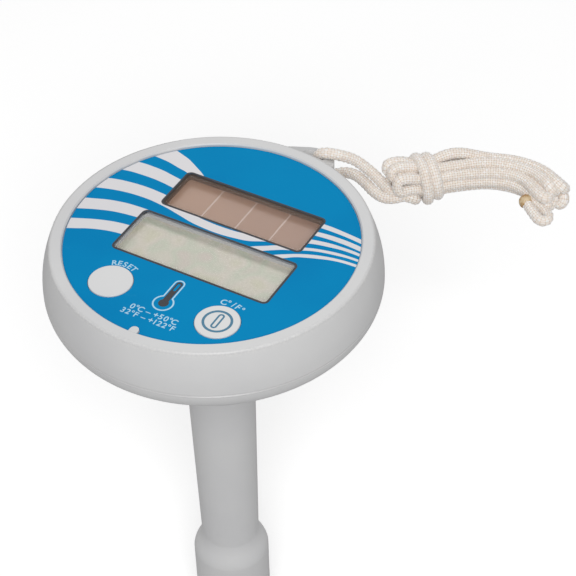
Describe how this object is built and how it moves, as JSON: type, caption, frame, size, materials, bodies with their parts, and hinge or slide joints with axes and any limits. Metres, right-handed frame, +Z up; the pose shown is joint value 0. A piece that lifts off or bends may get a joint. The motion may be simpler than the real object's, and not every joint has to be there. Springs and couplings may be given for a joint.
{
  "type": "floating pool thermometer",
  "caption": "Floating thermometer: round float head with a printed face, blank display, solar window and two keys, on a weighted stem with a slotted sensor cage and a braided tether.",
  "frame": {"origin": "on the stem's axis at the head's seam, which is the waterline when it floats", "axes": "+Z up along the stem's axis; the face is read from -Y, with +X to the reader's right"},
  "size_m": [0.1365, 0.1433, 0.182],
  "materials": {
    "white_abs": "satin moulded white ABS",
    "key_plastic": "matte white moulded plastic",
    "printed_label": "blue printed film with white wave bands",
    "clear_pane": "clear acrylic pane",
    "solar_cell": "brown amorphous cell with pale dividing lines",
    "display_glass": "blank grey-green reflective display",
    "foam_tape": "black foam tape",
    "seal_rubber": "black silicone rubber",
    "holder_plastic": "natural moulded plastic",
    "dark_plastic": "black moulded plastic",
    "circuit_board": "green solder mask",
    "tinned_metal": "tinned metal",
    "screw_steel": "zinc plated steel",
    "ballast_steel": "plain turned steel",
    "probe_steel": "drawn stainless steel",
    "resin": "dark potting resin",
    "lead_jacket": "grey insulated two-core lead",
    "tether_rope": "cream braided cotton rope",
    "melted_rope": "melted yellow-brown fibre"
  },
  "bodies": {
    "root": {"upper_shell": "white_abs", "lower_shell": "white_abs", "shell_seal": "seal_rubber", "face_label": "printed_label", "solar_window": "clear_pane", "lcd_window": "clear_pane", "solar_tape": "foam_tape", "solar_cell": "solar_cell", "solar_leads": "tinned_metal", "lcd_glass": "display_glass", "lcd_holder": "holder_plastic", "contact_strips": "seal_rubber", "reset_key_seal": "seal_rubber", "reset_switch": "dark_plastic", "unit_key_seal": "seal_rubber", "unit_switch": "dark_plastic", "main_board": "circuit_board", "board_screws": "screw_steel", "controller_blob": "dark_plastic", "storage_capacitor": "tinned_metal", "crystal_can": "tinned_metal", "chip_resistors": "dark_plastic", "lead_socket": "holder_plastic", "sensor_lead": "lead_jacket", "stem_tube": "white_abs", "stem_gasket": "seal_rubber", "stem_screws": "screw_steel", "ballast_weight": "ballast_steel", "sensor_guard": "white_abs", "sensor_probe": "probe_steel", "thermistor_bead": "resin", "probe_potting": "resin", "tether_upper_strand": "tether_rope", "tether_lower_strand": "tether_rope", "tether_knot": "tether_rope", "tether_hank": "tether_rope", "tether_end": "melted_rope"},
    "reset_key": {"reset_button": "key_plastic", "reset_switch_plunger": "holder_plastic"},
    "unit_key": {"unit_button": "key_plastic", "unit_switch_plunger": "holder_plastic"}
  },
  "joints": [
    {"name": "reset_press", "type": "slide", "parent": "root", "child": "reset_key", "axis": [0, 0, -1], "range_m": [0, 0.0005], "stiffness_N_per_m": 1500, "springref_m": -0.0004},
    {"name": "unit_press", "type": "slide", "parent": "root", "child": "unit_key", "axis": [0, 0, -1], "range_m": [0, 0.0005], "stiffness_N_per_m": 1500, "springref_m": -0.0004}
  ]
}
